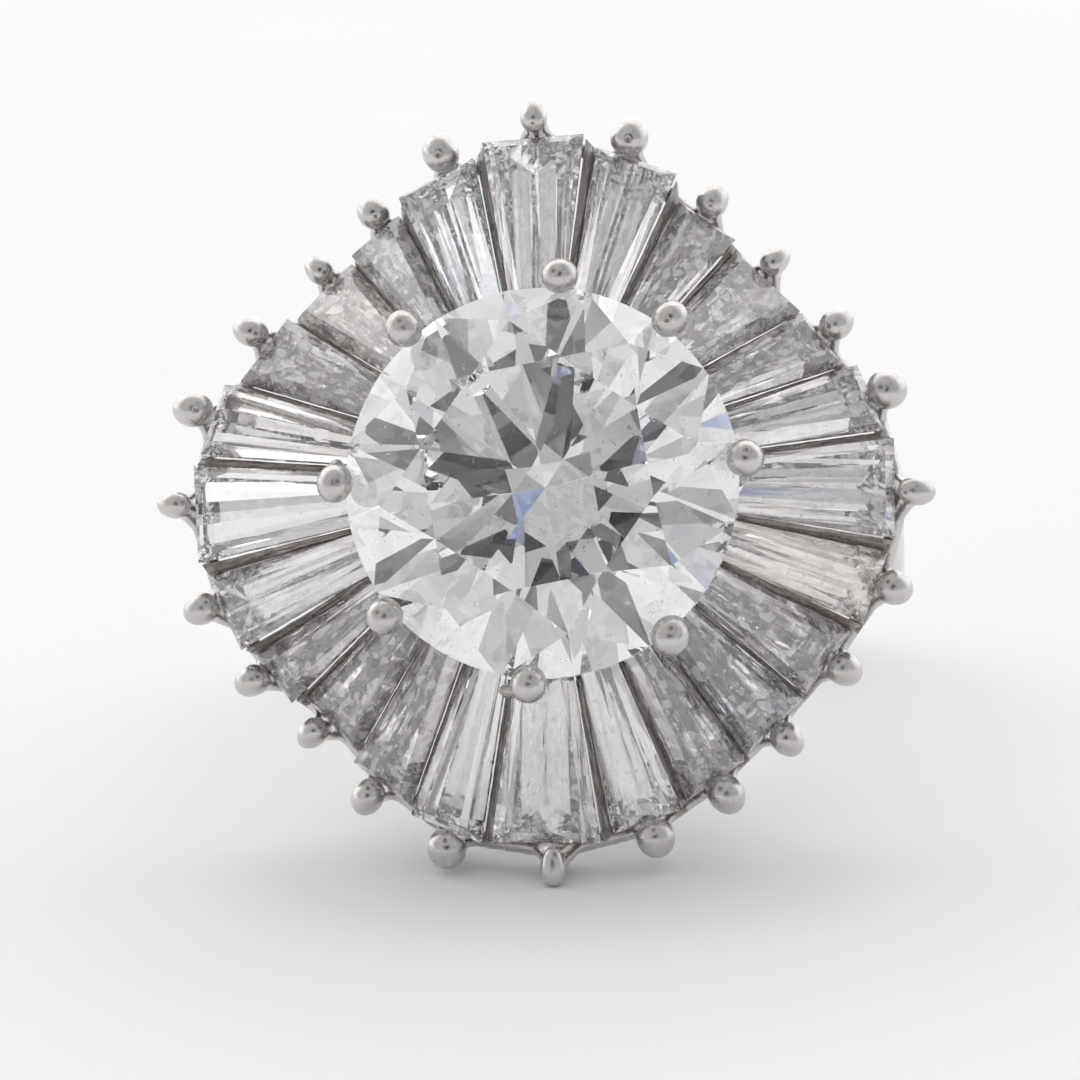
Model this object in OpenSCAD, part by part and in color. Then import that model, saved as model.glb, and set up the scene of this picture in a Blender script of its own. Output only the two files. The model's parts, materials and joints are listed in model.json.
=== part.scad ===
// Cluster ring: a round brilliant in eight claws, inside a wavy skirt of 24 tapered baguettes.
// The ring lies on its side, on the bead of one claw and the back edge of the band.
// The origin is the centre of the finger hole, and the head faces -Y.

/* [Band] */
// Radius of the finger hole
finger_r = 8.3; // [8.3:0.1:8.4]
// Thickness of the band, across its wall
band_t = 1.3; // [1.3:0.1:1.4]
// Width of the band, along the finger
band_w = 2.4; // [2.2:0.2:2.4]
// Radius of the band's long edges
band_edge_r = 0.35; // [0.3:0.05:0.35]
// Height of the centre stone's girdle over the middle of the finger hole
girdle_h = 14.7; // [14.7:0.3:15]

/* [Centre stone] */
// Diameter of the round brilliant at its girdle
centre_d = 10.5; // [10.5:0.1:10.6]
// Width of its table across the corners, as a share of the diameter
centre_table = 0.6; // [0.55:0.01:0.62]
// Slope of its crown, in degrees
crown_slope = 33.5; // [33.5:1:34.5]
// Slope of its pavilion, in degrees
pavilion_slope = 40.8; // [40:0.8:41.6]
// Direction of its first table corner, in degrees from the right
centre_turn = 33; // [0:1:44]

/* [Baguettes] */
// Radius at which the baguettes start, under the girdle of the centre stone
skirt_inner_r = 4.73; // [4.68:0.05:4.73]
// Depth of their inner ends under that girdle
skirt_drop = 0.88; // [0.88:0.12:1]
// Mean downward tilt of the baguettes, in degrees
skirt_tilt = 25.5; // [24:1.5:27]
// How much less they tilt at the four corners, and more between them, in degrees
skirt_tilt_swing = 13.5; // [13.5:0.5:14]
// Greatest sideways roll of a baguette on the slopes of the wave, in degrees
skirt_roll_swing = 12; // [12:1:13]
// Height of a baguette's crown over the middle of its girdle
baguette_crown = 0.35; // [0.31:0.01:0.37]
// Slope of a baguette's deepest facets, in degrees
baguette_slope = 40; // [37:1:41]

/* [Claws] */
// Radius of an outer claw's stem
stem_r = 0.31; // [0.31:0.01:0.32]
// Radius of the rail that joins the outer claws
rail_r = 0.23; // [0.23:0.01:0.24]
// Radius of the ribs under the gaps
rib_r = 0.14; // [0.14:0.01:0.15]
// Clearance between a stone and the metal that holds it
seat_gap = 0.06; // [0.05:0.01:0.07]

/* [Hidden] */

wire_fn = 48;
band_fn = 180;
metal_colour = [0.78, 0.76, 0.73];
diamond_colour = [0.86, 0.9, 0.94];

// The head is drawn as seen from in front: X to the right, Y up and Z out of its face.
// Its middle is the middle of the centre stone's girdle. All directions are degrees round Z.

// One row for each baguette and its claw, clockwise from the top: the direction of the gap
// before it, the direction and reach of its claw, the radius of the claw's bead, and how far
// beyond the baguette the middle of the bead stands.
GAP = 0;
CLAW = 1;
REACH = 2;
BEAD = 3;
STAND = 4;
SKIRT = [
    [101.8, 92.1, 10.35, 0.36, 0.48],
    [83.4, 77.2, 10.06, 0.49, 0.48],
    [67.8, 61.7, 9.31, 0.42, 0.48],
    [54.6, 47.3, 8.96, 0.35, 0.48],
    [37.4, 31.1, 9.05, 0.41, 0.48],
    [23.7, 16.4, 9.53, 0.5, 0.48],
    [9.3, -1, 9.89, 0.36, 0.58],
    [-9.5, -16.2, 9.62, 0.44, 0.48],
    [-24, -31, 9.19, 0.42, 0.48],
    [-38.8, -46.3, 9.09, 0.42, 0.48],
    [-53.7, -60, 9.34, 0.49, 0.48],
    [-66.9, -73.1, 9.72, 0.49, 0.48],
    [-80.5, -89.1, 10.29, 0.36, 0.84],
    [-100.4, -106.3, 9.95, 0.5, 0.5],
    [-114.9, -122.3, 9.53, 0.44, 0.48],
    [-128.6, -136.7, 9.13, 0.37, 0.48],
    [-142.8, -149.7, 9.63, 0.42, 0.48],
    [-153.8, -162.6, 10, 0.42, 0.48],
    [-168.4, -178.7, 10.17, 0.36, 0.48],
    [-186.3, -194.1, 10.09, 0.49, 0.48],
    [-200.9, -209.9, 9.71, 0.42, 0.48],
    [-215.8, -225.3, 9.45, 0.36, 0.48],
    [-230.6, -238.4, 9.66, 0.42, 0.48],
    [-242.4, -252.4, 10.08, 0.5, 0.48]
];
skirt_n = len(SKIRT);

// One row for each centre claw: the gap of the skirt that it rises through, counted by the
// baguette after it, its direction, and the radius of its bead.
FOOT = 0;
TURN = 1;
KNOB = 2;
CENTRE_CLAWS = [
    [2, 84.3, 0.48],
    [4, 50.6, 0.49],
    [7, 4.6, 0.5],
    [11, -50.8, 0.54],
    [14, -93, 0.5],
    [17, -138.6, 0.5],
    [20, -179.4, 0.5],
    [23, -228.3, 0.5]
];

// The head stands on the band on these struts, each under the claw of one baguette.
STRUTS = [1, 4, 7, 10, 13, 16, 19, 22];

// The outer claw whose bead the ring lies on, counted as in SKIRT
rest_claw = 13;

// Centre stone
centre_r = centre_d / 2;
facet_step = 22.5;
cut_r = centre_r / cos(facet_step / 2);
table_r = centre_d * centre_table / 2;
girdle_half = 0.07;
star_share = 0.55;
lower_share = 0.77;
star_r = table_r * cos(facet_step) + star_share * (cut_r - table_r * cos(facet_step));
lower_r = cut_r * (1 - lower_share);
crown_h = girdle_half + (cut_r - table_r) * tan(crown_slope);
star_h = crown_h - (star_r * cos(facet_step) - table_r) * tan(crown_slope);
culet_h = -girdle_half - cut_r * tan(pavilion_slope);
lower_h = culet_h + lower_r * cos(facet_step) * tan(pavilion_slope);

// Baguette sections, from the table down: how far each is inset from the girdle, and its height.
// The inner ends leave more room between them, for the centre claws to rise through.
table_inset = 0.31;
bevel_inset = 0.15;
CUT = [
    [table_inset, baguette_crown],
    [bevel_inset, girdle_half + bevel_inset],
    [0, girdle_half],
    [0, -girdle_half],
    [0.15, -0.26],
    [0.29, -0.43]
];
inner_gap = 0.23;
outer_gap = 0.14;
corner_gap = 0.16;
outer_end_run = 0.73;

// Outer claws, measured from the outer end of the baguette that each one holds
bead_rise = 0.42;
small_bead_r = 0.35;
bead_lift = 0.5;
claw_root = 0.18;
foot_drop = 1.17;
rail_drop = 0.82;
rail_stand = 0.13;
rail_swing = 0.27;
foot_grow = 1.04;
joint_grow = 1.1;

// Centre claws, seat ring and base ring
claw_r = 5.46;
blade_r = [5.39, 5.81];
blade_t = 0.12;
blade_top = -0.35;
neck_r = 0.19;
seat_r = 4.03;
seat_wire_r = 0.35;
seat_h = -girdle_half - (cut_r - seat_r) * tan(pavilion_slope)
    - (seat_wire_r + seat_gap) / cos(pavilion_slope);
base_r = 2.8;
base_wire_r = 0.45;
base_sink = 0.22;
band_outer_r = finger_r + band_t;
base_h = sqrt(pow(band_outer_r, 2) - pow(base_r, 2)) - girdle_h + base_wire_r - base_sink;
strut_r = 0.3;
post_r = 0.26;

function around(r, turn, h) = [r * cos(turn), r * sin(turn), h];
function row(i) = SKIRT[i - 1];
function gap_turn(i) = i > skirt_n ? row(i - skirt_n)[GAP] - 360 : row(i)[GAP];

// Place and size of baguette i
function baguette_turn(i) = (gap_turn(i) + gap_turn(i + 1)) / 2;
function half_span(i) = (gap_turn(i) - gap_turn(i + 1)) / 2;
function tilt(i) = skirt_tilt - skirt_tilt_swing * cos(4 * baguette_turn(i));
function roll(i) = -skirt_roll_swing * sin(4 * baguette_turn(i));
function end_r(i) = row(i)[REACH] - row(i)[STAND];
function end_h(i) = -skirt_drop - baguette_l(i) * sin(tilt(i));
function baguette_l(i) = (end_r(i) - skirt_inner_r) / cos(tilt(i));
function edge_h(i) = end_h(i)
    + end_r(i) * tan(row(i)[CLAW] - baguette_turn(i)) * sin(roll(i)) * cos(tilt(i));
function gap_at(i) = outer_gap + corner_gap * (1 + cos(4 * baguette_turn(i))) / 2;
function inner_half(i) = skirt_inner_r * tan(half_span(i)) - inner_gap / 2;
function outer_half(i) = end_r(i) * tan(half_span(i)) - gap_at(i) / 2;

// Points of claw i, and the joint of the rail beside it. Where the skirt is steep, the rail runs
// further in, under the ends of the baguettes.
function bead_at(i) = around(row(i)[REACH], row(i)[CLAW],
    edge_h(i) + bead_rise + bead_lift * (row(i)[BEAD] - small_bead_r));
function foot_at(i) = around(end_r(i) + claw_root, row(i)[CLAW], end_h(i) - foot_drop);
function joint_at(i) = around(
    end_r(i) + rail_stand - rail_swing * (1 - cos(4 * baguette_turn(i))) / 2, row(i)[CLAW],
    end_h(i) - rail_drop);
function after(i) = i == skirt_n ? 1 : i + 1;
function before(i) = i == 1 ? skirt_n : i - 1;

// The rib under the gap before baguette i runs from the seat ring to the rail, and meets it
// where the rail crosses the plane of the gap.
function side(p, turn) = p[1] * cos(turn) - p[0] * sin(turn);
function crossing(p, q, turn) = p + (q - p) * side(p, turn) / (side(p, turn) - side(q, turn));
function rib_end(i) = crossing(joint_at(before(i)), joint_at(i), gap_turn(i));
function rib_start(i) = around(seat_r, gap_turn(i), seat_h);
function rib_h(i, r) = seat_h + (rib_end(i)[2] - seat_h) * (r - seat_r)
    / (norm([rib_end(i)[0], rib_end(i)[1]]) - seat_r);

// The ring lies on the bead of one claw and the back edge of the band. Both are round, so the
// floor is the line under two circles, which this angle brings level.
rest_dy = band_outer_r - band_edge_r + girdle_h + bead_at(rest_claw)[2];
rest_dz = band_edge_r - band_w / 2 - bead_at(rest_claw)[1];
rest_dr = band_edge_r - row(rest_claw)[BEAD];
rest_pitch = atan2(rest_dz, rest_dy) - asin(rest_dr / norm([rest_dy, rest_dz]));
foot_r = stem_r * foot_grow;

module laid_down() {
    rotate([-rest_pitch, 0, 0]) children();
}

module on_head() {
    laid_down() translate([0, -girdle_h, 0]) rotate([90, 0, 0]) children();
}

// A round wire from one point to another
module wire(from, to, r) {
    span = to - from;
    translate(from)
        rotate([0, acos(span[2] / norm(span)), atan2(span[1], span[0])])
            cylinder(h = norm(span), r = r, $fn = wire_fn);
}

module ball(at, r) {
    translate(at) sphere(r = r, $fn = wire_fn);
}

module wire_ring(r, h, wire_r) {
    translate([0, 0, h])
        rotate_extrude($fn = band_fn) translate([r, 0]) circle(r = wire_r, $fn = wire_fn);
}

module band() {
    straight_w = band_w - 2 * band_edge_r;
    rotate_extrude($fn = band_fn) {
        translate([finger_r, -straight_w / 2]) square([band_t, straight_w]);
        translate([finger_r + band_edge_r, -band_w / 2])
            square([band_t - 2 * band_edge_r, band_w]);
        for (r = [finger_r + band_edge_r, band_outer_r - band_edge_r])
            for (h = [-straight_w / 2, straight_w / 2])
                translate([r, h]) circle(r = band_edge_r, $fn = wire_fn);
    }
}

// The base ring on the band, and the seat ring under the centre stone, joined by posts
module collet() {
    wire_ring(base_r, base_h, base_wire_r);
    wire_ring(seat_r, seat_h, seat_wire_r);
    for (i = STRUTS)
        wire(around(base_r, row(i)[CLAW], base_h), around(seat_r, row(i)[CLAW], seat_h), post_r);
}

module centre_claw(claw) {
    foot = claw[FOOT];
    turn = gap_turn(foot);
    mid_r = (blade_r[0] + blade_r[1]) / 2;
    blade_bottom = rib_h(foot, mid_r);
    rise = (claw[KNOB] + seat_gap - (claw_r - centre_r) * sin(crown_slope)) / cos(crown_slope);
    knob_at = around(claw_r, claw[TURN], 2 * girdle_half + rise);
    neck_at = around(mid_r, turn, blade_top);
    rotate([0, 0, turn])
        translate([blade_r[0], -blade_t / 2, blade_bottom])
            cube([blade_r[1] - blade_r[0], blade_t, blade_top - blade_bottom]);
    ball(neck_at, neck_r * foot_grow);
    wire(neck_at, knob_at, neck_r);
    ball(knob_at, claw[KNOB]);
}

module outer_claw(i) {
    wire(foot_at(i), bead_at(i), stem_r);
    ball(foot_at(i), foot_r);
    ball(joint_at(i), rail_r * joint_grow);
    ball(bead_at(i), row(i)[BEAD]);
}

module mounting() {
    color(metal_colour) {
        laid_down() band();
        on_head() {
            collet();
            for (claw = CENTRE_CLAWS) centre_claw(claw);
            for (i = [1:skirt_n]) {
                outer_claw(i);
                wire(joint_at(i), joint_at(after(i)), rail_r);
                wire(rib_start(i), rib_end(i), rib_r);
            }
            for (i = STRUTS) wire(around(base_r, row(i)[CLAW], base_h), foot_at(i), strut_r);
        }
    }
}

// A brilliant with eight mains, cut round so that its girdle is scalloped
module centre_stone() {
    mains = 8;
    half_n = 2 * mains;
    tables = [for (k = [0:mains - 1]) around(table_r, 2 * k * facet_step, crown_h)];
    stars = [for (k = [0:mains - 1]) around(star_r, (2 * k + 1) * facet_step, star_h)];
    tops = [for (j = [0:half_n - 1]) around(cut_r, j * facet_step, girdle_half)];
    bottoms = [for (j = [0:half_n - 1]) around(cut_r, j * facet_step, -girdle_half)];
    lowers = [for (k = [0:mains - 1]) around(lower_r, (2 * k + 1) * facet_step, lower_h)];
    star = mains;
    top = star + mains;
    bottom = top + half_n;
    lower = bottom + half_n;
    culet = lower + mains;
    table_face = [[for (k = [mains - 1:-1:0]) k]];
    main_faces = [for (k = [0:mains - 1])
        let (next = (k + 1) % mains, last = (k + mains - 1) % mains, g = 2 * k,
            g1 = g + 1, g2 = (g + 2) % half_n)
        each [
            [k, next, star + k],
            [k, star + k, top + g, star + last],
            [star + k, top + g1, top + g],
            [star + k, top + g2, top + g1],
            [top + g, top + g1, bottom + g1, bottom + g],
            [top + g1, top + g2, bottom + g2, bottom + g1],
            [bottom + g, bottom + g1, lower + k],
            [bottom + g1, bottom + g2, lower + k],
            [culet, lower + last, bottom + g, lower + k]
        ]];
    color(diamond_colour)
        on_head() rotate([0, 0, centre_turn]) intersection() {
            polyhedron(
                points = concat(tables, stars, tops, bottoms, lowers, [[0, 0, culet_h]]),
                faces = concat(table_face, main_faces));
            translate([0, 0, 2 * culet_h])
                cylinder(h = 4 * abs(culet_h), r = centre_r, $fn = band_fn);
        }
}

// A tapered step cut along X, from its narrow end at X = 0, with its girdle at Z = 0
module tapered_baguette(l, narrow, wide) {
    taper = atan((wide - narrow) / l);
    half_at = function (x, inset) narrow + (wide - narrow) * x / l - inset / cos(taper);
    deep = CUT[len(CUT) - 1];
    keel_h = function (x) deep[1] - half_at(x, deep[0]) * cos(taper) * tan(baguette_slope);
    narrow_keel = deep[0] + half_at(deep[0], deep[0]);
    wide_keel = l - deep[0] - outer_end_run * half_at(l - deep[0], deep[0]);
    sections = [for (c = CUT) each [
        [c[0], -half_at(c[0], c[0]), c[1]],
        [l - c[0], -half_at(l - c[0], c[0]), c[1]],
        [l - c[0], half_at(l - c[0], c[0]), c[1]],
        [c[0], half_at(c[0], c[0]), c[1]]
    ]];
    keel = [[narrow_keel, 0, keel_h(narrow_keel)], [wide_keel, 0, keel_h(wide_keel)]];
    sides = [for (k = [0:len(CUT) - 2]) for (j = [0:3])
        [4 * k + j, 4 * k + (j + 1) % 4, 4 * k + 4 + (j + 1) % 4, 4 * k + 4 + j]];
    low = 4 * (len(CUT) - 1);
    tip = low + 4;
    keel_faces = [
        [low, low + 1, tip + 1, tip],
        [low + 1, low + 2, tip + 1],
        [low + 2, low + 3, tip, tip + 1],
        [low + 3, low, tip]
    ];
    polyhedron(points = concat(sections, keel), faces = concat([[3, 2, 1, 0]], sides, keel_faces));
}

module baguette(i) {
    color(diamond_colour)
        on_head() rotate([0, 0, baguette_turn(i)]) translate([skirt_inner_r, 0, -skirt_drop])
            rotate([0, tilt(i), 0]) rotate([roll(i), 0, 0])
                tapered_baguette(baguette_l(i), inner_half(i), outer_half(i));
}

mounting();
centre_stone();
for (i = [1:skirt_n])
    baguette(i);
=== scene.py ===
import json
import math
import random

import bmesh
import bpy
from mathutils import Matrix, Vector

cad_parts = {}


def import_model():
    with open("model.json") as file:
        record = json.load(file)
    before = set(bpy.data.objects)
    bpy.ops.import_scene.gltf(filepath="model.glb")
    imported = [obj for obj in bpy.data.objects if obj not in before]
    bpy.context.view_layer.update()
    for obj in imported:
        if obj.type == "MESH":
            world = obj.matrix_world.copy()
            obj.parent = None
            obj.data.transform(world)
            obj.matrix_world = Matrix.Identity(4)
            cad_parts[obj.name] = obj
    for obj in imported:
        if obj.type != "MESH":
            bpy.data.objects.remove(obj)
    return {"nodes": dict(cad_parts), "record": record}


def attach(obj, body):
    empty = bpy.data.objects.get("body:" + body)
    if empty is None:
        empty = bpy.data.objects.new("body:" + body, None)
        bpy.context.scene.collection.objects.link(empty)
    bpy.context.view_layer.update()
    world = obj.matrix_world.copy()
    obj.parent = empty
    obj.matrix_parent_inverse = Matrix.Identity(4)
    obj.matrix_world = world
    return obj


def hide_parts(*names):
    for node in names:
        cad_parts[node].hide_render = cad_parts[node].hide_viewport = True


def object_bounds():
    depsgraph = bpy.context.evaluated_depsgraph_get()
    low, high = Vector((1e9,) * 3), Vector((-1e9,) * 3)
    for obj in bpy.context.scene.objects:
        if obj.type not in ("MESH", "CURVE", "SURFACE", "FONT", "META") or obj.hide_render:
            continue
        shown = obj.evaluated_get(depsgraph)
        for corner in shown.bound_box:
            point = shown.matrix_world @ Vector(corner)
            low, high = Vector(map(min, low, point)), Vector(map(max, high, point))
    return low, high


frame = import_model()
cad_box = [list(corner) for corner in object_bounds()]

# Sizes of the ring in mm. They are those of the CAD, but the gaps are 0.04 narrower, at the
# corners' ends 0.04 wider, the beads are larger and the rail stands 0.06 further out.
FINGER_R = 8.3
BAND_T = 1.3
BAND_W = 2.4
BAND_EDGE_R = 0.35
GIRDLE_H = 14.7
CENTRE_D = 10.5
CENTRE_R = CENTRE_D / 2
CROWN_SLOPE = math.radians(33.5)
PAVILION_SLOPE = math.radians(40.8)
GIRDLE_HALF = 0.07
SKIRT_INNER_R = 4.73
SKIRT_DROP = 0.88
SKIRT_TILT = 25.5
SKIRT_TILT_SWING = 13.5
SKIRT_ROLL_SWING = 12
BAGUETTE_CROWN = 0.35
STEM_R = 0.31
RAIL_R = 0.23
RIB_R = 0.14
SEAT_GAP = 0.06
INNER_GAP = 0.19
OUTER_GAP = 0.1
CORNER_GAP = 0.28
BEAD_RISE = 0.42
SMALL_BEAD_R = 0.35
BEAD_LIFT = 0.5
CLAW_ROOT = 0.18
FOOT_DROP = 1.17
RAIL_DROP = 0.82
RAIL_STAND = 0.19
RAIL_SWING = 0.27
CLAW_R = 5.46
BLADE_R = (5.39, 5.81)
BLADE_T = 0.12
BLADE_TOP = -0.35
NECK_R = 0.19
SEAT_R = 4.03
SEAT_WIRE_R = 0.35
BASE_R = 2.8
BASE_WIRE_R = 0.45
BASE_SINK = 0.22
STRUT_R = 0.3
POST_R = 0.26
FILLET = 0.5
BEAD_GROW = 1.05
SMALL_SPAN = 0.12

# The fused wires stay a little inside the finer beads: shares of the beads' radii for the cores
# of the outer beads, for the roots that carry them inward, and for the centre claws' knobs
CORE_SHARE = 0.97
ROOT_SHARE = 0.9
KNOB_SHARE = 0.94
ROOT_STAND = 0.1
ROOT_SINK = 0.1
# The webs from the rail to the claws: where they meet a claw, and their share of its radius
WEB_TOP = 0.65
WEB_SHARE = 0.9
# The stems of the centre claws bow outward and swell towards their knobs
CLAW_BOW = 0.08
NECK_SWELL = 0.1
VOXEL = 0.09

# The dark walls in the gaps, which paint shade there: clearance as a share of the gap, depth,
# where they start along the stone, how ragged their top is, and the painted shade of their lower
# edge
WALL_MARGIN = 0.12
WALL_DEPTH = 0.9
WALL_START = 0.1
WALL_RAGGED = 0.12
WALL_FOOT_SHADE = 0.3

# Where the grime and painted shade start and over what length they grow: inside the rail, under
# the stones, above the base ring, and on faces that look up
RAIL_FADE = (-0.12, 0.2)
STONE_FADE = (0.1, 0.25)
BASE_FADE = (-3.2, 0.8)
FACING_FADE = (-0.5, 0.8)

# One row for each baguette and its claw, clockwise from the top: direction of the gap before
# it, direction and reach of its claw, radius of the claw's bead, and how far beyond the
# baguette the middle of the bead stands.
SKIRT = [
    (101.8, 92.1, 10.35, 0.36, 0.48),
    (83.4, 77.2, 10.06, 0.49, 0.48),
    (67.8, 61.7, 9.31, 0.42, 0.48),
    (54.6, 47.3, 8.96, 0.35, 0.48),
    (37.4, 31.1, 9.05, 0.41, 0.48),
    (23.7, 16.4, 9.53, 0.5, 0.48),
    (9.3, -1, 9.89, 0.36, 0.58),
    (-9.5, -16.2, 9.62, 0.44, 0.48),
    (-24, -31, 9.19, 0.42, 0.48),
    (-38.8, -46.3, 9.09, 0.42, 0.48),
    (-53.7, -60, 9.34, 0.49, 0.48),
    (-66.9, -73.1, 9.72, 0.49, 0.48),
    (-80.5, -89.1, 10.29, 0.36, 0.84),
    (-100.4, -106.3, 9.95, 0.5, 0.5),
    (-114.9, -122.3, 9.53, 0.44, 0.48),
    (-128.6, -136.7, 9.13, 0.37, 0.48),
    (-142.8, -149.7, 9.63, 0.42, 0.48),
    (-153.8, -162.6, 10, 0.42, 0.48),
    (-168.4, -178.7, 10.17, 0.36, 0.48),
    (-186.3, -194.1, 10.09, 0.49, 0.48),
    (-200.9, -209.9, 9.71, 0.42, 0.48),
    (-215.8, -225.3, 9.45, 0.36, 0.48),
    (-230.6, -238.4, 9.66, 0.42, 0.48),
    (-242.4, -252.4, 10.08, 0.5, 0.48),
]

# One row for each centre claw: the gap it rises through, its direction, radius of its bead.
CENTRE_CLAWS = [
    (2, 84.3, 0.48),
    (4, 50.6, 0.49),
    (7, 4.6, 0.5),
    (11, -50.8, 0.54),
    (14, -93.0, 0.5),
    (17, -138.6, 0.5),
    (20, -179.4, 0.5),
    (23, -228.3, 0.5),
]
# The outer claws under which a strut stands, and the one whose bead the ring lies on
STRUTS = (1, 4, 7, 10, 13, 16, 19, 22)
REST_CLAW = 13
STONE_N = len(SKIRT)

# The head's own axes in the row frame: U to the right as seen from in front, V up along the
# finger, W out of the face. Its middle is the middle of the centre stone's girdle.
U = Vector((1, 0, 0))
V = Vector(frame["record"]["mounts"][0]["axis"]).normalized()
W = U.cross(V)
HEAD = Matrix.Translation(GIRDLE_H / 1000 * W) @ (
    Matrix((U, V, W)).transposed().to_4x4() @ Matrix.Scale(0.001, 4)
)
RING = Matrix((U, -W, V)).transposed().to_4x4() @ Matrix.Scale(0.001, 4)


def around(r, turn, h):
    a = math.radians(turn)
    return Vector((r * math.cos(a), r * math.sin(a), h))


def gap_turn(i):
    """Direction of the gap before baguette i, which may be one past the last."""
    return SKIRT[(i - 1) % STONE_N][0] - (360 if i > STONE_N else 0)


class Baguette:
    """Place and size of one baguette, and the points of its claw."""

    def __init__(self, i):
        claw, reach, bead, stand = SKIRT[i - 1][1:]
        self.turn = (gap_turn(i) + gap_turn(i + 1)) / 2
        half_span = math.radians(gap_turn(i) - gap_turn(i + 1)) / 2
        wave = math.radians(4 * self.turn)
        self.tilt = math.radians(SKIRT_TILT - SKIRT_TILT_SWING * math.cos(wave))
        self.roll = math.radians(-SKIRT_ROLL_SWING * math.sin(wave))
        end_r = reach - stand
        self.reach = reach
        self.end_r = end_r
        self.length = (end_r - SKIRT_INNER_R) / math.cos(self.tilt)
        self.end_h = -SKIRT_DROP - self.length * math.sin(self.tilt)
        gap_w = OUTER_GAP + CORNER_GAP * (1 + math.cos(wave)) / 2
        self.narrow = SKIRT_INNER_R * math.tan(half_span) - INNER_GAP / 2
        self.wide = end_r * math.tan(half_span) - gap_w / 2
        rise = math.tan(math.radians(claw - self.turn)) * math.sin(self.roll)
        edge_h = self.end_h + end_r * rise * math.cos(self.tilt)
        self.claw = claw
        self.bead_r = bead
        self.bead = around(reach, claw, edge_h + BEAD_RISE + BEAD_LIFT * (bead - SMALL_BEAD_R))
        self.foot = around(end_r + CLAW_ROOT, claw, self.end_h - FOOT_DROP)
        inward = RAIL_SWING * (1 - math.cos(wave)) / 2
        self.joint = around(end_r + RAIL_STAND - inward, claw, self.end_h - RAIL_DROP)

    def half_width(self, share):
        return self.narrow + (self.wide - self.narrow) * share

    def matrix(self):
        return (
            Matrix.Rotation(math.radians(self.turn), 4, "Z")
            @ Matrix.Translation((SKIRT_INNER_R, 0, -SKIRT_DROP))
            @ Matrix.Rotation(self.tilt, 4, "Y")
            @ Matrix.Rotation(self.roll, 4, "X")
        )


STONES = {i: Baguette(i) for i in range(1, STONE_N + 1)}


def before(i):
    """The baguette before baguette i, round the skirt."""
    return STONES[(i - 2) % STONE_N + 1]


def after(i):
    """The baguette after baguette i, round the skirt."""
    return STONES[i % STONE_N + 1]


# Mesh helpers

WIRE_SIDES = 20


def new_object(name, mesh):
    obj = bpy.data.objects.new(name, mesh)
    bpy.context.scene.collection.objects.link(obj)
    return obj


def add_tube(bm, points, radii):
    """A closed round tube through the points, with its own radius at each."""
    tangents = []
    for k, p in enumerate(points):
        a = points[max(k - 1, 0)]
        b = points[min(k + 1, len(points) - 1)]
        tangents.append((b - a).normalized())
    side = tangents[0].orthogonal().normalized()
    rings = []
    for p, t, r in zip(points, tangents, radii):
        side = (side - t * side.dot(t)).normalized()
        other = t.cross(side)
        rings.append([
            bm.verts.new(p + r * (math.cos(a) * side + math.sin(a) * other))
            for a in (2 * math.pi * s / WIRE_SIDES for s in range(WIRE_SIDES))
        ])
    for lower, upper in zip(rings, rings[1:]):
        for s in range(WIRE_SIDES):
            n = (s + 1) % WIRE_SIDES
            bm.faces.new((lower[s], lower[n], upper[n], upper[s]))
    bm.faces.new(rings[0][::-1])
    bm.faces.new(rings[-1])


def add_ball(bm, at, r):
    bmesh.ops.create_icosphere(bm, subdivisions=3, radius=r, matrix=Matrix.Translation(at))


def add_ring(bm, r, h, wire_r):
    steps = 120
    rings = []
    for k in range(steps):
        turn = 360 * k / steps
        rings.append([
            bm.verts.new(around(r + wire_r * math.cos(a), turn, h + wire_r * math.sin(a)))
            for a in (2 * math.pi * s / WIRE_SIDES for s in range(WIRE_SIDES))
        ])
    for k in range(steps):
        lower, upper = rings[k], rings[(k + 1) % steps]
        for s in range(WIRE_SIDES):
            n = (s + 1) % WIRE_SIDES
            bm.faces.new((lower[s], upper[s], upper[n], lower[n]))


def bowed(a, b, bow, steps):
    """Points from a to b, pushed by bow at the middle."""
    return [a.lerp(b, k / steps) + bow * (4 * k / steps * (1 - k / steps))
            for k in range(steps + 1)]


def crossing(p, q, turn):
    """Where the line from p to q crosses the direction turn, seen from in front."""
    a = math.radians(turn)
    side_p = p.y * math.cos(a) - p.x * math.sin(a)
    side_q = q.y * math.cos(a) - q.x * math.sin(a)
    return p + (q - p) * side_p / (side_p - side_q)


# The metal: soldered wires that flow into each other, so they are fused and softened, with the
# beads, the dark walls that paint shade into the gaps and the band added as finer surfaces.

half_facet = math.pi / 16
cut_r = CENTRE_R / math.cos(half_facet)
seat_h = (-GIRDLE_HALF - (cut_r - SEAT_R) * math.tan(PAVILION_SLOPE)
          - (SEAT_WIRE_R + SEAT_GAP) / math.cos(PAVILION_SLOPE))
band_outer_r = FINGER_R + BAND_T
base_h = math.sqrt(band_outer_r ** 2 - BASE_R ** 2) - GIRDLE_H + BASE_WIRE_R - BASE_SINK


def rib_points(i):
    """Ends of the rib under the gap before baguette i."""
    end = crossing(before(i).joint, STONES[i].joint, gap_turn(i))
    return around(SEAT_R, gap_turn(i), seat_h), end


def claw_knob(turn, bead_r):
    """Middle of a centre claw's bead, which touches the crown."""
    up = ((bead_r + SEAT_GAP - (CLAW_R - CENTRE_R) * math.sin(CROWN_SLOPE))
          / math.cos(CROWN_SLOPE))
    return around(CLAW_R, turn, 2 * GIRDLE_HALF + up)


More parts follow.
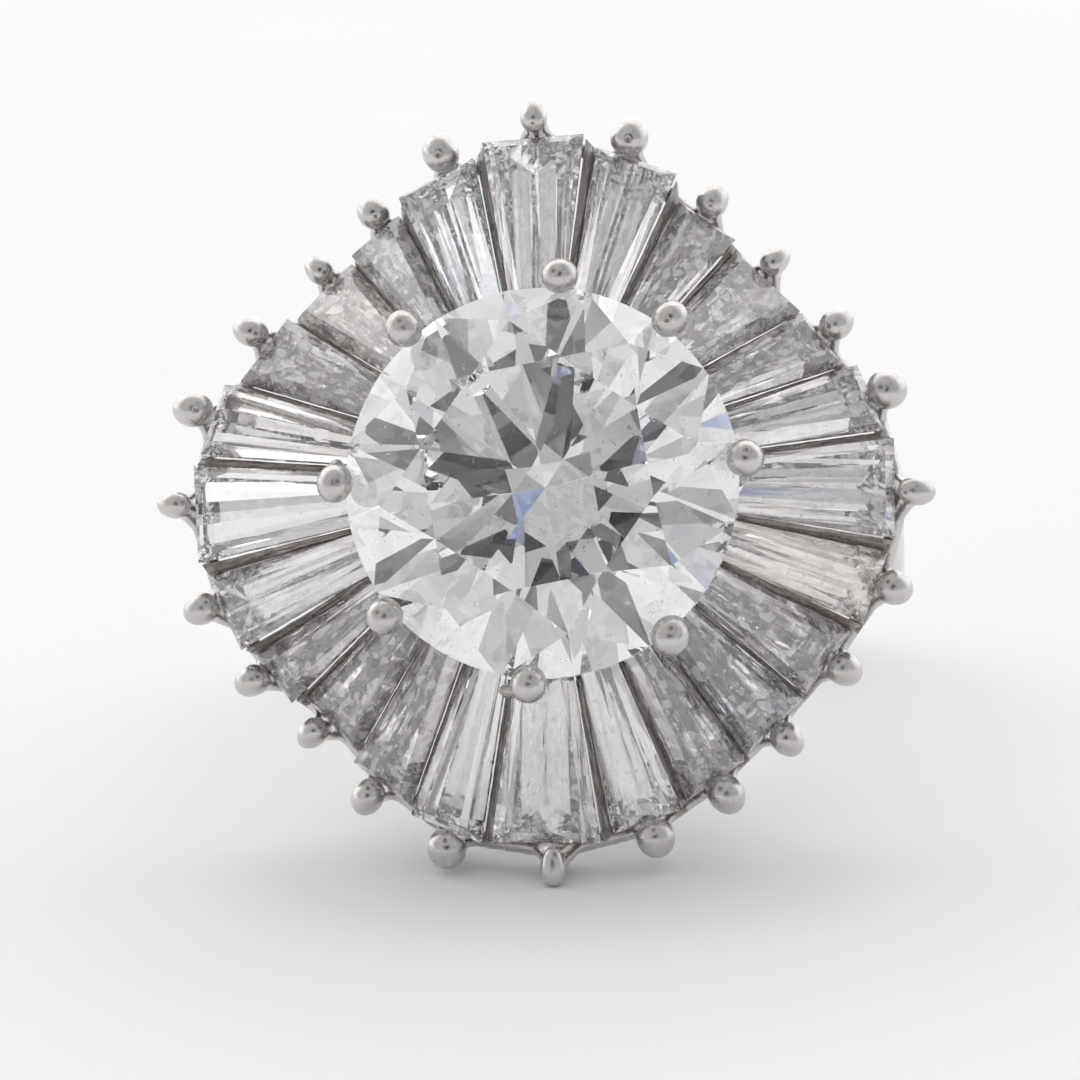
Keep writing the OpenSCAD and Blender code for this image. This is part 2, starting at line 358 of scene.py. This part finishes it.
def head_wires():
    """All of the head's metal but its beads' surfaces, as one fused and softened mesh."""
    stem_steps, neck_steps = 8, 6
    bm = bmesh.new()
    add_ring(bm, BASE_R, base_h, BASE_WIRE_R)
    add_ring(bm, SEAT_R, seat_h, SEAT_WIRE_R)
    for i, stone in STONES.items():
        swell = stone.bead_r - STEM_R
        add_tube(bm, [stone.foot.lerp(stone.bead, k / stem_steps) for k in range(stem_steps + 1)],
                 [STEM_R + swell * (k / stem_steps) ** 3 for k in range(stem_steps + 1)])
        add_ball(bm, stone.foot, STEM_R)
        add_ball(bm, stone.bead, stone.bead_r * CORE_SHARE)
        root_r = stone.bead_r * ROOT_SHARE
        root = around(min(stone.reach, stone.end_r + stone.bead_r + ROOT_STAND), stone.claw,
                      stone.bead.z - ROOT_SINK)
        add_tube(bm, [root, stone.bead], [root_r, root_r])
        add_ball(bm, root, root_r)
        following = after(i)
        add_tube(bm, [stone.joint, following.joint], [RAIL_R, RAIL_R])
        for near, far in ((stone, following), (following, stone)):
            web = near.joint.lerp(far.joint, FILLET / (far.joint - near.joint).length)
            add_tube(bm, [web, near.foot.lerp(near.bead, WEB_TOP)],
                     [RAIL_R * WEB_SHARE, STEM_R * WEB_SHARE])
        add_tube(bm, rib_points(i), [RIB_R, RIB_R])
    for i in STRUTS:
        foot = around(BASE_R, STONES[i].claw, base_h)
        add_tube(bm, [foot, around(SEAT_R, STONES[i].claw, seat_h)], [POST_R, POST_R])
        add_tube(bm, [foot, STONES[i].foot], [STRUT_R, STRUT_R])
    mid_r = (BLADE_R[0] + BLADE_R[1]) / 2
    for gap, turn, bead_r in CENTRE_CLAWS:
        start, end = rib_points(gap)
        share = (mid_r - SEAT_R) / (math.hypot(end.x, end.y) - SEAT_R)
        bottom = start.z + (end.z - start.z) * share
        blade = bmesh.ops.create_cube(bm, size=1)["verts"]
        size = Matrix.Diagonal((BLADE_R[1] - BLADE_R[0], BLADE_T, BLADE_TOP - bottom, 1))
        place = (Matrix.Rotation(math.radians(gap_turn(gap)), 4, "Z")
                 @ Matrix.Translation((mid_r, 0, (BLADE_TOP + bottom) / 2)) @ size)
        bmesh.ops.transform(bm, matrix=place, verts=blade)
        neck = around(mid_r, gap_turn(gap), BLADE_TOP)
        knob = claw_knob(turn, bead_r)
        add_ball(bm, neck, NECK_R)
        add_tube(bm, bowed(neck, knob, around(CLAW_BOW, turn, 0), neck_steps),
                 [NECK_R + NECK_SWELL * (k / neck_steps) ** 2 for k in range(neck_steps + 1)])
        add_ball(bm, knob, bead_r * KNOB_SHARE)
    mesh = bpy.data.meshes.new("head_wires")
    bm.to_mesh(mesh)
    bm.free()
    obj = new_object("head_wires", mesh)
    fuse = obj.modifiers.new("fuse", "REMESH")
    fuse.mode = "VOXEL"
    fuse.voxel_size = VOXEL
    soften = obj.modifiers.new("soften", "SMOOTH")
    soften.factor = 0.5
    soften.iterations = 5
    depsgraph = bpy.context.evaluated_depsgraph_get()
    fused = bpy.data.meshes.new_from_object(obj.evaluated_get(depsgraph))
    bpy.data.objects.remove(obj)
    return fused


def add_bead(bm, at, r, tip, body, stretch, rng):
    """A bead with a small pit in its tip, painted dark there as a painted reflection of the dark
    camera, drawn out along body by its two stretches.
    """
    segments, rings = 28, 22
    turn = tip.to_track_quat("Z", "Y").to_matrix()
    sway = [rng.uniform(-0.05, 0.05) for k in range(4)]
    pit = rng.uniform(0.04, 0.1)
    width = rng.uniform(0.1, 0.15)
    flat = rng.uniform(0, 0.03)
    loops = []
    grime_and_shade = bm.verts.layers.float["grime_and_shade"]

    def place(p, out, dirt_and_shade):
        p = p * r * out
        along = p.dot(body)
        vertex = bm.verts.new(at + p + body * along * stretch[0 if along > 0 else 1])
        # Painted reflection: this value paints the pit in the bead's tip dark brown
        vertex[grime_and_shade] = dirt_and_shade
        return vertex

    for j in range(1, rings):
        # The rings are closer together at the tip, for the pit
        polar = math.pi * (j / rings) ** 1.3
        dent = math.exp(-((polar / width) ** 2))
        loop = []
        for s in range(segments):
            a = 2 * math.pi * s / segments
            out = 1 + sway[0] * math.cos(a + sway[1] * 90) * math.sin(polar)
            out += sway[2] * math.cos(2 * a + sway[3] * 90) * math.sin(polar) ** 2
            out -= pit * dent + flat * math.exp(-((polar / 0.5) ** 2))
            p = Vector((math.sin(polar) * math.cos(a), math.sin(polar) * math.sin(a),
                        math.cos(polar)))
            loop.append(place(turn @ p, out, dent))
        loops.append(loop)
    top = place(turn @ Vector((0, 0, 1)), 1 - pit - flat, 1)
    bottom = place(turn @ Vector((0, 0, -1)), 1, 0)
    for s in range(segments):
        n = (s + 1) % segments
        bm.faces.new((top, loops[0][s], loops[0][n]))
        bm.faces.new((bottom, loops[-1][n], loops[-1][s]))
        for upper, lower in zip(loops, loops[1:]):
            bm.faces.new((upper[s], lower[s], lower[n], upper[n]))


def beads():
    bm = bmesh.new()
    bm.verts.layers.float.new("grime_and_shade")
    rng = random.Random(11)
    for i, stone in STONES.items():
        # Small beads are pegs: they are drawn out more, and their pits lie nearer to the stones
        small = max(0, 1 - (stone.bead_r - SMALL_BEAD_R) / SMALL_SPAN)
        tip = around(-0.3 - 0.5 * small, stone.claw + rng.uniform(-25, 25), 1).normalized()
        body = around(1, stone.claw, -0.35).normalized()
        inward = max(0, stone.reach - stone.end_r - stone.bead_r - ROOT_STAND) / stone.bead_r
        outward, grow = (0, 1) if i == REST_CLAW else (0.15 + 0.4 * small, BEAD_GROW)
        add_bead(bm, stone.bead, stone.bead_r * grow, tip, body, (outward, inward), rng)
    for _, turn, bead_r in CENTRE_CLAWS:
        tip = around(0.3, rng.uniform(0, 360), 1).normalized()
        add_bead(bm, claw_knob(turn, bead_r), bead_r, tip, around(1, turn, 0), (0, 0), rng)
    mesh = bpy.data.meshes.new("beads")
    bm.to_mesh(mesh)
    bm.free()
    return mesh


def band():
    """The band, with rounded long edges. It is the polished part of the metal."""
    profile = []
    half = BAND_W / 2 - BAND_EDGE_R
    corners = [(band_outer_r - BAND_EDGE_R, half, 0), (FINGER_R + BAND_EDGE_R, half, 90),
               (FINGER_R + BAND_EDGE_R, -half, 180), (band_outer_r - BAND_EDGE_R, -half, 270)]
    for r, h, start in corners:
        for k in range(8):
            a = math.radians(start + 90 * k / 7)
            profile.append((r + BAND_EDGE_R * math.cos(a), h + BAND_EDGE_R * math.sin(a)))
    bm = bmesh.new()
    steps = 240
    loops = [[bm.verts.new(around(r, 360 * k / steps, h)) for r, h in profile]
             for k in range(steps)]
    n = len(profile)
    for k in range(steps):
        a, b = loops[k], loops[(k + 1) % steps]
        for s in range(n):
            bm.faces.new((a[s], b[s], b[(s + 1) % n], a[(s + 1) % n]))
    mesh = bpy.data.meshes.new("band")
    bm.to_mesh(mesh)
    bm.free()
    for value in mesh.attributes.new("polish", "FLOAT", "POINT").data:
        value.value = 1
    return mesh


def shade_walls():
    """Thin streaky dark walls on the ribs, which close the gaps just under the stones' girdles: a
    painted shade in the gaps.
    """
    bm = bmesh.new()
    grime_and_shade = bm.verts.layers.float.new("grime_and_shade")
    rng = random.Random(3)
    steps, streaks = 14, 7
    down = Vector((0, 0, -WALL_DEPTH))
    for i, stone in STONES.items():
        loops = []
        # Painted shade: each streak's tone is how dark brown it is painted, for the shade in the
        # gap
        tones = [rng.uniform(0.5, 1) for s in range(streaks + 1)]
        for k in range(steps + 1):
            share = WALL_START + (1 - WALL_START) * k / steps
            a, b = (s.matrix() @ Vector((share * s.length, side * s.half_width(share),
                                         -GIRDLE_HALF))
                    for s, side in ((stone, 1), (before(i), -1)))
            left, right = a.lerp(b, WALL_MARGIN), b.lerp(a, WALL_MARGIN)
            loop = []
            for s, tone in enumerate(tones):
                top = left.lerp(right, s / streaks) - down * rng.uniform(-WALL_RAGGED, 0)
                loop.append(bm.verts.new(top))
                loop[-1][grime_and_shade] = max(0.1, min(1, tone + rng.uniform(-0.2, 0.2)))
            for p in (right + down, left + down):
                loop.append(bm.verts.new(p))
                loop[-1][grime_and_shade] = WALL_FOOT_SHADE
            loops.append(loop)
        n = streaks + 3
        for upper, lower in zip(loops, loops[1:]):
            for s in range(n):
                bm.faces.new((upper[s], upper[(s + 1) % n], lower[(s + 1) % n], lower[s]))
        bm.faces.new(loops[0][::-1])
        bm.faces.new(loops[-1])
    mesh = bpy.data.meshes.new("shade_walls")
    bm.to_mesh(mesh)
    bm.free()
    return mesh


def stone_level(p):
    """Height of the skirt's girdle over a point of the head."""
    turn = math.degrees(math.atan2(p.y, p.x))
    tilt = math.radians(SKIRT_TILT - SKIRT_TILT_SWING * math.cos(math.radians(4 * turn)))
    return -SKIRT_DROP - (math.hypot(p.x, p.y) - SKIRT_INNER_R) * math.tan(tilt)


def fade(value, start, length):
    """0 up to start, 1 from start + length."""
    return max(0, min(1, (value - start) / length))


def add_grime_and_shade(mesh):
    """Grime and painted shade on the metal under the stones, on its upper sides only and not
    outside the rail.
    """
    values = mesh.attributes.new("grime_and_shade", "FLOAT", "POINT").data
    ends = sorted((stone.turn, stone.end_r) for stone in STONES.values())
    for vertex, value in zip(mesh.vertices, values):
        p = vertex.co
        turn = math.degrees(math.atan2(p.y, p.x))
        end_r = min(ends, key=lambda end: abs((end[0] - turn + 180) % 360 - 180))[1]
        inside = fade(end_r - math.hypot(p.x, p.y), *RAIL_FADE)
        under = fade(stone_level(p) - p.z, *STONE_FADE)
        above = fade(p.z - stone_level(p), *BASE_FADE)
        # Painted shade: the metal under the stones is browned where their shade falls, together
        # with grime
        value.value = inside * under * above * fade(vertex.normal.z, *FACING_FADE)


def build_mounting():
    bm = bmesh.new()
    for mesh, place in ((head_wires(), HEAD), (beads(), HEAD), (shade_walls(), HEAD), (band(), RING)):
        if place is HEAD and not mesh.attributes.get("grime_and_shade"):
            add_grime_and_shade(mesh)
        mesh.transform(place)
        bm.from_mesh(mesh)
        bpy.data.meshes.remove(mesh)
    bmesh.ops.recalc_face_normals(bm, faces=bm.faces)
    for face in bm.faces:
        face.smooth = True
    mesh = bpy.data.meshes.new("mounting_looks")
    bm.to_mesh(mesh)
    bm.free()
    obj = new_object("mounting_looks", mesh)
    obj.data.materials.append(white_gold())
    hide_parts("mounting")
    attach(obj, "root")


# The baguettes: step cuts. A cut is the share of the half width and the slope of each pavilion
# step, the slope of its facet at the wide end, and how far its inner steps taper with the sides.
# A step with a slope below 0 is deeper at its outer side, and shows as a clear window.

LONG = ([(0.44, 50), (0.15, 48), (0.14, 45.5), (0.13, 43), (0.14, 40)], 58, 0.3)
LONG_FINE = ([(0.4, 51), (0.2, 47), (0.2, 44), (0.2, 40.5)], 56, 0.35)
WINDOW = ([(0.34, 47), (0.42, -10), (0.24, 46)], 62, 1)
HALF_WINDOW = ([(0.3, 49), (0.34, -10), (0.36, 46)], 60, 1)
CRUSHED = ([(0.24, 57), (0.26, 50), (0.26, 44), (0.24, 39)], 47, 1)
CUTS = {1: LONG, 2: LONG_FINE, 6: LONG_FINE, 7: LONG, 8: LONG_FINE, 12: LONG_FINE, 13: LONG,
        14: HALF_WINDOW, 18: LONG_FINE, 19: WINDOW, 20: HALF_WINDOW, 24: LONG_FINE}

# Inset and height of the crown's edges, and the slope of the pavilion at the narrow end
CROWN_EDGES = ((0.31, BAGUETTE_CROWN), (0.15, 0.22), (0, GIRDLE_HALF), (0, -GIRDLE_HALF))
NARROW_SLOPE = math.radians(50)
# How unevenly the stones are cut, in mm, and the degrees of slope for each mm of that
EVEN_CUT = 0.012
UNEVEN_CUT = 0.05
SLOPE_PER_MM = 20


def cut_baguette(i, stone, rng):
    """A baguette with its steps, its keel, and a place of its own in the flecks' pattern."""
    steps, end_slope, taper_share = CUTS.get(i, CRUSHED)
    loose = EVEN_CUT if i in CUTS else UNEVEN_CUT
    l, narrow, wide = stone.length, stone.narrow, stone.wide
    taper = math.cos(math.atan((wide - narrow) / l))

    def half_at(x, inset):
        return narrow + (wide - narrow) * x / l - inset / taper

    loops = []
    for inset, h in CROWN_EDGES:
        x0, x1 = inset, l - inset
        loops.append([(x0, -half_at(x0, inset), h), (x1, -half_at(x1, inset), h),
                      (x1, half_at(x1, inset), h), (x0, half_at(x0, inset), h)])
    share, depth = 1, 0
    for share_step, slope in steps:
        slope += rng.uniform(-SLOPE_PER_MM, SLOPE_PER_MM) * loose
        depth += share_step * math.tan(math.radians(slope))
        share -= share_step
        x0 = depth * narrow / math.tan(NARROW_SLOPE)
        x1 = l - depth * wide / math.tan(math.radians(end_slope))
        points = []
        for x, sign in ((x0, -1), (x1, -1), (x1, 1), (x0, 1)):
            half = half_at(l / 2, 0) + (half_at(x, 0) - half_at(l / 2, 0)) * taper_share
            points.append((x, sign * share * half + rng.uniform(-1, 1) * loose,
                           -GIRDLE_HALF - depth * half))
        loops.append(points)
    bm = bmesh.new()
    local = bm.verts.layers.float_vector.new("local")
    place = HEAD @ stone.matrix()
    turned = Vector((rng.uniform(0, 50), 0, 0))

    def corner(p):
        vertex = bm.verts.new(place @ Vector(p))
        vertex[local] = Vector(p) + turned
        return vertex

    rows = [[corner(p) for p in loop] for loop in loops[:-1]]
    keel = [corner((loops[-1][k][0], 0, loops[-1][k][2])) for k in (0, 1)]
    bm.faces.new(rows[0][::-1])
    for upper, lower in zip(rows, rows[1:]):
        for k in range(4):
            n = (k + 1) % 4
            bm.faces.new((upper[k], upper[n], lower[n], lower[k]))
    last = rows[-1]
    bm.faces.new((last[0], last[1], keel[1], keel[0]))
    bm.faces.new((last[1], last[2], keel[1]))
    bm.faces.new((last[2], last[3], keel[0], keel[1]))
    bm.faces.new((last[3], last[0], keel[0]))
    bmesh.ops.recalc_face_normals(bm, faces=bm.faces)
    mesh = bpy.data.meshes.new("cut_baguette")
    bm.to_mesh(mesh)
    bm.free()
    return mesh


# Materials


def shader(name):
    material = bpy.data.materials.new(name)
    material.use_nodes = True
    nodes = material.node_tree.nodes
    return material, nodes, material.node_tree.links, nodes["Principled BSDF"]


def noise(nodes, links, coords, scale, detail=3):
    node = nodes.new("ShaderNodeTexNoise")
    node.inputs["Scale"].default_value = scale
    node.inputs["Detail"].default_value = detail
    node.inputs["Roughness"].default_value = 0.55
    links.new(coords.outputs["Object"], node.inputs["Vector"])
    return node


def spread(nodes, links, value, low, high, to_low, to_high):
    node = nodes.new("ShaderNodeMapRange")
    node.inputs["From Min"].default_value = low
    node.inputs["From Max"].default_value = high
    node.inputs["To Min"].default_value = to_low
    node.inputs["To Max"].default_value = to_high
    links.new(value, node.inputs["Value"])
    return node.outputs["Result"]


def ramp(nodes, links, value, stops):
    node = nodes.new("ShaderNodeValToRGB")
    links.new(value, node.inputs["Fac"])
    while len(node.color_ramp.elements) < len(stops):
        node.color_ramp.elements.new(0.5)
    for element, (position, colour) in zip(node.color_ramp.elements, stops):
        element.position = position
        element.color = (*colour, 1)
    return node.outputs["Color"]


def times(nodes, links, a, b):
    node = nodes.new("ShaderNodeMath")
    node.operation = "MULTIPLY"
    links.new(a, node.inputs[0])
    links.new(b, node.inputs[1])
    return node.outputs["Value"]


def bump(nodes, links, height, distance, strength):
    node = nodes.new("ShaderNodeBump")
    node.inputs["Strength"].default_value = strength
    node.inputs["Distance"].default_value = distance
    links.new(height, node.inputs["Height"])
    return node.outputs["Normal"]


def white_gold():
    """Worn white gold: smoother where the mesh's polish is high, brown where its grime, painted
    shade and painted reflection are.
    """
    material, nodes, links, bsdf = shader("white_gold")
    coords = nodes.new("ShaderNodeTexCoord")
    tone = noise(nodes, links, coords, 2600)
    metal = ramp(nodes, links, tone.outputs["Fac"],
                 [(0.35, (0.58, 0.565, 0.555)), (0.65, (0.64, 0.625, 0.615))])
    grime_and_shade = nodes.new("ShaderNodeAttribute")
    grime_and_shade.attribute_name = "grime_and_shade"
    patches = noise(nodes, links, coords, 2600)
    # Painted shade and painted reflection: the brown mix stands for shade under the stones and in
    # the gaps and for the beads' dark pits, as well as for grime
    dirt_and_shade = times(nodes, links, grime_and_shade.outputs["Fac"],
                 spread(nodes, links, patches.outputs["Fac"], 0.3, 0.6, 0.6, 1))
    colour = nodes.new("ShaderNodeMix")
    colour.data_type = "RGBA"
    links.new(dirt_and_shade, colour.inputs["Factor"])
    links.new(metal, colour.inputs["A"])
    links.new(ramp(nodes, links, patches.outputs["Fac"],
                   [(0.3, (0.07, 0.043, 0.036)), (0.7, (0.23, 0.165, 0.14))]),
              colour.inputs["B"])
    links.new(colour.outputs["Result"], bsdf.inputs["Base Color"])
    links.new(spread(nodes, links, dirt_and_shade, 0, 1, 1, 0.4), bsdf.inputs["Metallic"])
    polish = nodes.new("ShaderNodeAttribute")
    polish.attribute_name = "polish"
    wear = noise(nodes, links, coords, 3400, 4)
    rough = spread(nodes, links, wear.outputs["Fac"], 0.35, 0.7, 0.19, 0.36)
    even = spread(nodes, links, polish.outputs["Fac"], 0, 1, 1, 0.5)
    links.new(times(nodes, links, rough, even), bsdf.inputs["Roughness"])
    dents = times(nodes, links, wear.outputs["Fac"],
                  spread(nodes, links, polish.outputs["Fac"], 0, 1, 1, 0.04))
    links.new(bump(nodes, links, dents, 0.00003, 0.5), bsdf.inputs["Normal"])
    return material


def flecked(nodes, links, colour, amount):
    """Small angular flecks along the stone: their colour, and how clear the stone is there."""
    local = nodes.new("ShaderNodeAttribute")
    local.attribute_name = "local"
    drawn = nodes.new("ShaderNodeMapping")
    drawn.inputs["Scale"].default_value = (0.5, 1, 1)
    links.new(local.outputs["Vector"], drawn.inputs["Vector"])
    cells = nodes.new("ShaderNodeTexVoronoi")
    cells.inputs["Scale"].default_value = 6.5
    links.new(drawn.outputs["Vector"], cells.inputs["Vector"])
    parts = nodes.new("ShaderNodeSeparateColor")
    links.new(cells.outputs["Color"], parts.inputs["Color"])
    tone = nodes.new("ShaderNodeMix")
    tone.data_type = "RGBA"
    tone.blend_type = "MULTIPLY"
    tone.inputs["Factor"].default_value = amount
    links.new(colour, tone.inputs["A"])
    links.new(ramp(nodes, links, parts.outputs["Red"],
                   [(0, (0.5, 0.44, 0.44)), (0.35, (0.9, 0.87, 0.88)), (0.7, (1, 1, 1))]),
              tone.inputs["B"])
    clear = spread(nodes, links, parts.outputs["Green"], 0.8, 0.84, 1, 1 - 0.5 * amount)
    return tone.outputs["Result"], clear


def diamond(name, tint, haze, grain, flecks_share=0):
    """Clear diamond with a breath of colour, and a share of pale haze for its inclusions."""
    material, nodes, links, bsdf = shader(name)
    coords = nodes.new("ShaderNodeTexCoord")
    cloud = noise(nodes, links, coords, 420, 1)
    colour = ramp(nodes, links, cloud.outputs["Fac"], [(0.3, tint), (0.7, (0.985, 0.98, 0.98))])
    bsdf.inputs["IOR"].default_value = 2.417
    flecks = noise(nodes, links, coords, grain, 2)
    clear = spread(nodes, links, flecks.outputs["Fac"], 0.4, 0.75, 1 - 0.5 * haze, 1 - 1.8 * haze)
    dust = noise(nodes, links, coords, 4500, 1)
    specks = spread(nodes, links, dust.outputs["Fac"], 0.72, 0.78, 1, 0.55)
    clear = times(nodes, links, clear, specks)
    if flecks_share:
        colour, open_share = flecked(nodes, links, colour, flecks_share)
        clear = times(nodes, links, clear, open_share)
    links.new(colour, bsdf.inputs["Base Color"])
    links.new(clear, bsdf.inputs["Transmission Weight"])
    bsdf.inputs["Roughness"].default_value = 0
    return material


def build_stones():
    rng = random.Random(5)
    tints = {
        "plain": (0.87, 0.85, 0.868),
        "clear": (0.99, 0.985, 0.985),
        "pale": (0.985, 0.955, 0.94),
        "warm": (0.94, 0.86, 0.82),
        "cool": (0.83, 0.88, 0.95),
        "dim": (0.79, 0.77, 0.782),
    }
    kind = {4: "dim", 8: "warm", 9: "dim", 10: "cool", 14: "clear", 17: "dim", 19: "clear",
            20: "pale", 22: "warm", 24: "cool"}
    materials = {}
    for i, stone in STONES.items():
        name = "baguette_%02d" % i
        obj = new_object(name + "_looks", cut_baguette(i, stone, rng))
        tint = kind.get(i, "plain")
        finish = (0.05, 500, 0.25) if i in CUTS else (0.09, 2200, 0.8)
        if tint in ("clear", "pale"):
            finish = (0.02, 500, 0.08)
        key = (tint, *finish)
        if key not in materials:
            materials[key] = diamond("diamond_%s_%d" % (tint, finish[1]), tints[tint], *finish)
        obj.data.materials.append(materials[key])
        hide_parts(name)
        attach(obj, "root")
    centre = frame["nodes"]["centre_stone"]
    for polygon in centre.data.polygons:
        polygon.use_smooth = False
    centre.data.materials.clear()
    centre.data.materials.append(diamond("diamond_brilliant", (0.975, 0.98, 0.985), 0.012, 600))


build_mounting()
build_stones()

# The photo's view: 8 degrees below straight in front of the head, and 6 to its right
DISTANCE = 0.095
FRAME_WIDTH = 0.0287
AIM_DOWN = 0.00154
AIM_LEFT = 0.00005
centre = HEAD @ Vector((0, 0, 0))
sight = (0.1 * U - 0.14 * V + W).normalized()
right = V.cross(sight).normalized()
up = sight.cross(right)
aim = centre - AIM_DOWN * up - AIM_LEFT * right
camera_data = bpy.data.cameras.new("camera")
camera = new_object("camera", camera_data)
camera_data.lens = camera_data.sensor_width * DISTANCE / FRAME_WIDTH
camera_data.clip_start = 0.001
camera_data.clip_end = 10
place = Matrix((right, up, sight)).transposed().to_4x4()
place.translation = aim + DISTANCE * sight
camera.matrix_world = place
bpy.context.scene.camera = camera

# Pale floor
floor_mesh = bpy.data.meshes.new("floor")
floor_z = cad_box[0][2]
span = 3
floor_mesh.from_pydata(
    [(-span, -span, floor_z), (span, -span, floor_z), (span, span, floor_z),
     (-span, span, floor_z)], [], [(0, 1, 2, 3)])
floor = new_object("floor", floor_mesh)
material, nodes, links, bsdf = shader("floor")
coords = nodes.new("ShaderNodeTexCoord")
links.new(ramp(nodes, links, noise(nodes, links, coords, 30).outputs["Fac"],
               [(0.3, (0.95, 0.95, 0.95)), (0.7, (0.97, 0.97, 0.97))]),
          bsdf.inputs["Base Color"])
bsdf.inputs["Roughness"].default_value = 0.9
floor.data.materials.append(material)

# Soft white tent with folds: brightest behind, above and to the left, dimmer towards the
# photographer, dark where the camera looks in, and with a pale blue window
world = bpy.data.worlds.new("tent")
bpy.context.scene.world = world
world.use_nodes = True
nodes, links = world.node_tree.nodes, world.node_tree.links
background = nodes["Background"]
coords = nodes.new("ShaderNodeTexCoord")


def towards(direction):
    node = nodes.new("ShaderNodeVectorMath")
    node.operation = "DOT_PRODUCT"
    node.inputs[1].default_value = direction
    links.new(coords.outputs["Generated"], node.inputs[0])
    return node.outputs["Value"]


front = ramp(nodes, links, towards((0.03 * U - 0.04 * V + W).normalized()),
             [(0, (1.35, 1.35, 1.35)), (0.14, (0.85, 0.85, 0.865)), (0.34, (0.55, 0.545, 0.555)),
              (0.925, (0.56, 0.56, 0.565)), (0.963, (0.45, 0.45, 0.46)),
              (0.976, (0.01, 0.01, 0.011))])
side = spread(nodes, links, towards((0.8 * V - 0.6 * U).normalized()), -1, 1, 0.86, 1.14)
folds = nodes.new("ShaderNodeTexNoise")
folds.inputs["Scale"].default_value = 4.5
folds.inputs["Detail"].default_value = 1
links.new(coords.outputs["Generated"], folds.inputs["Vector"])
folded = spread(nodes, links, folds.outputs["Fac"], 0.4, 0.6, -1, 1)
depth = spread(nodes, links, towards(W), 0.6, 0.92, 0.17, 0.06)
shade = nodes.new("ShaderNodeMath")
shade.operation = "MULTIPLY_ADD"
links.new(folded, shade.inputs[0])
links.new(depth, shade.inputs[1])
shade.inputs[2].default_value = 0.96
light = times(nodes, links, times(nodes, links, front, side), shade.outputs["Value"])
window = ramp(nodes, links, towards((0.5 * U + 0.45 * V + 0.74 * W).normalized()),
              [(0.98, (1, 0.99, 0.985)), (0.988, (0.5, 0.62, 0.95))])
tinted = nodes.new("ShaderNodeMix")
tinted.data_type = "RGBA"
tinted.blend_type = "MULTIPLY"
tinted.inputs["Factor"].default_value = 1
links.new(light, tinted.inputs["A"])
links.new(window, tinted.inputs["B"])
links.new(tinted.outputs["Result"], background.inputs["Color"])
background.inputs["Strength"].default_value = 1.1

scene = bpy.context.scene
scene.view_settings.view_transform = "Standard"
scene.cycles.max_bounces = 20
scene.cycles.transmission_bounces = 20
scene.cycles.glossy_bounces = 16
scene.cycles.transparent_max_bounces = 16
